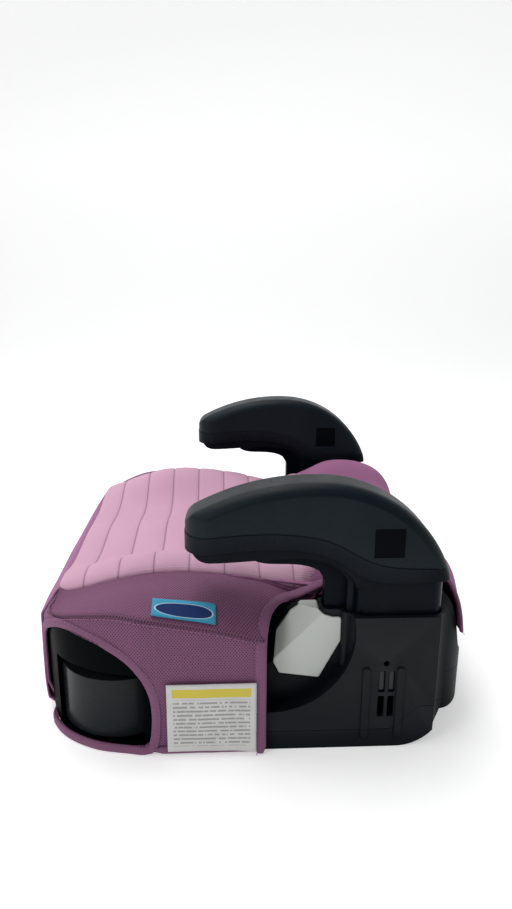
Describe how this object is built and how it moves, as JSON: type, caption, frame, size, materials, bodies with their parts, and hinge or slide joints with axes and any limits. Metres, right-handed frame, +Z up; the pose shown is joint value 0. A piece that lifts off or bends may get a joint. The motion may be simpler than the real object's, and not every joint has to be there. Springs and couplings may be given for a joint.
{
  "type": "backless booster seat",
  "caption": "Backless booster seat with a padded quilted cover, height-adjustable armrests, lap-belt guides and pull-out cup holders.",
  "frame": {"origin": "on the floor under the middle of the base, midway between the armrests; the base's underside is Z = 0", "axes": "+Z up, -Y towards the seat's front edge, +X towards the sitter's left"},
  "size_m": [0.4011, 0.3951, 0.2275],
  "materials": {
    "base_plastic": "satin moulded",
    "grained_plastic": "fine spark-eroded grain",
    "inlay_plastic": "smooth",
    "latch_plastic": "gloss",
    "cup_plastic": "half gloss",
    "guide_plastic": "satin",
    "screw_steel": "zinc",
    "foam": "open-cell foam",
    "cover_fabric": "diamond mesh knit",
    "insert_fabric": "smooth knit, quilted",
    "label_cloth": "printed satin tape",
    "tag_cloth": "woven",
    "elastic": "woven elastic"
  },
  "bodies": {
    "base": {"base_tray": "base_plastic", "seat_shell": "base_plastic", "tray_screws": "screw_steel", "seat_foam": "foam", "seat_cover": "cover_fabric", "seat_insert": "insert_fabric", "care_label": "label_cloth", "side_tag": "tag_cloth", "cover_loops": "elastic", "belt_guide_left": "guide_plastic", "belt_guide_right": "guide_plastic"},
    "armrest_left": {"armrest_body_left": "base_plastic", "armrest_cap_left": "grained_plastic", "armrest_rib_left": "base_plastic", "armrest_inlays_left": "inlay_plastic", "armrest_screws_left": "screw_steel"},
    "latch_left": {"armrest_latch_left": "latch_plastic"},
    "cup_holder_left": {"cup_holder_left": "cup_plastic"},
    "armrest_right": {"armrest_body_right": "base_plastic", "armrest_cap_right": "grained_plastic", "armrest_rib_right": "base_plastic", "armrest_inlays_right": "inlay_plastic", "armrest_screws_right": "screw_steel"},
    "latch_right": {"armrest_latch_right": "latch_plastic"},
    "cup_holder_right": {"cup_holder_right": "cup_plastic"}
  },
  "joints": [
    {"name": "armrest_height_left", "type": "slide", "parent": "base", "child": "armrest_left", "axis": [0, 0, 1], "range_m": [-0.023, 0]},
    {"name": "latch_press_left", "type": "hinge", "parent": "armrest_left", "child": "latch_left", "pos_m": [0.19, 0.1005, 0.0965], "axis": [0, 1, 0], "range_deg": [0, 8]},
    {"name": "cup_slide_left", "type": "slide", "parent": "base", "child": "cup_holder_left", "axis": [1, 0, 0], "range_m": [0, 0.092]},
    {"name": "armrest_height_right", "type": "slide", "parent": "base", "child": "armrest_right", "axis": [0, 0, 1], "range_m": [-0.023, 0]},
    {"name": "latch_press_right", "type": "hinge", "parent": "armrest_right", "child": "latch_right", "pos_m": [-0.19, 0.1005, 0.0965], "axis": [0, -1, 0], "range_deg": [0, 8]},
    {"name": "cup_slide_right", "type": "slide", "parent": "base", "child": "cup_holder_right", "axis": [-1, 0, 0], "range_m": [0, 0.092]}
  ]
}
